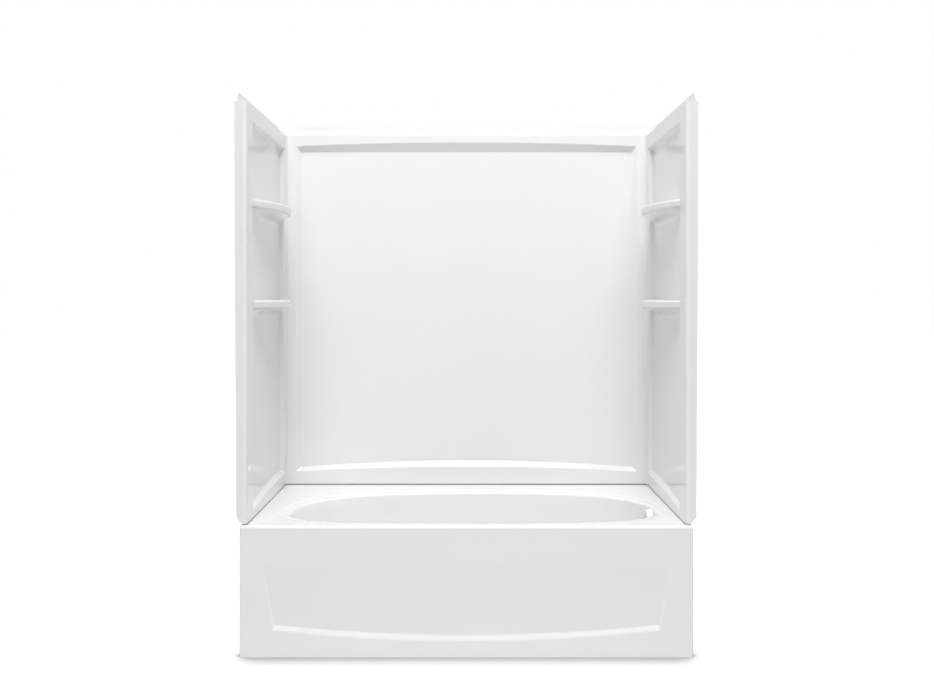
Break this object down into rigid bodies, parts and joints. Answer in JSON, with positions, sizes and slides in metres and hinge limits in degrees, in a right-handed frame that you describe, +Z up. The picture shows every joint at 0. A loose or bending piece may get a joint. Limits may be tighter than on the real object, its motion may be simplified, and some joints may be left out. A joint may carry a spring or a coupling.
{
  "type": "tub and shower unit",
  "caption": "Alcove bath with an apron, a framed three-piece wall surround with moulded shelves, and a waste and overflow with a push-down stopper.",
  "frame": {"origin": "on the floor, under the middle of the unit's overall width and depth", "axes": "+X to the bather's right as seen from the open front, towards the drain end; +Y to the back wall; +Z up"},
  "size_m": [1.57, 0.737, 1.918],
  "materials": {
    "white_acrylic": "glossy white moulded acrylic",
    "dark_seal": "grey silicone sealant in the joint",
    "clip_steel": "spring steel strip",
    "white_enamel": "white powder-coated brass",
    "screw_steel": "stainless steel",
    "rubber": "black moulded rubber",
    "putty": "plumber's putty",
    "pipe_plastic": "white PVC pipe and fittings",
    "nut_plastic": "white moulded plastic",
    "washer_plastic": "polyethylene",
    "board_wood": "plywood",
    "foot_plastic": "dark grey moulded plastic",
    "galvanised_steel": "galvanised steel strip"
  },
  "bodies": {
    "unit": {"bath_shell": "white_acrylic", "back_wall": "white_acrylic", "left_end_wall": "white_acrylic", "right_end_wall": "white_acrylic", "back_seal": "dark_seal", "left_seal": "dark_seal", "right_seal": "dark_seal", "left_corner_clips": "clip_steel", "right_corner_clips": "clip_steel", "drain_flange": "white_enamel", "overflow_plate": "white_enamel", "stopper_post": "white_enamel", "overflow_screw": "screw_steel", "brace_screws": "screw_steel", "stopper_spring": "screw_steel", "drain_gasket": "rubber", "overflow_gasket": "rubber", "putty_ring": "putty", "drain_shoe": "pipe_plastic", "waste_tee": "pipe_plastic", "overflow_pipe": "pipe_plastic", "overflow_elbow": "pipe_plastic", "tee_side_nut": "nut_plastic", "tee_top_nut": "nut_plastic", "tee_side_washer": "washer_plastic", "tee_top_washer": "washer_plastic", "base_board": "board_wood", "foot_front_left": "foot_plastic", "foot_front_right": "foot_plastic", "foot_rear_left": "foot_plastic", "foot_rear_right": "foot_plastic", "apron_brace_left": "galvanised_steel", "apron_brace_right": "galvanised_steel"},
    "stopper": {"stopper_cap": "white_enamel", "stopper_seal": "rubber"}
  },
  "joints": [
    {"name": "stopper_push", "type": "slide", "parent": "unit", "child": "stopper", "axis": [0, 0, 1], "range_m": [-0.008, 0], "stiffness_N_per_m": 400, "springref_m": 0.004, "deforming": ["stopper_spring"]}
  ]
}
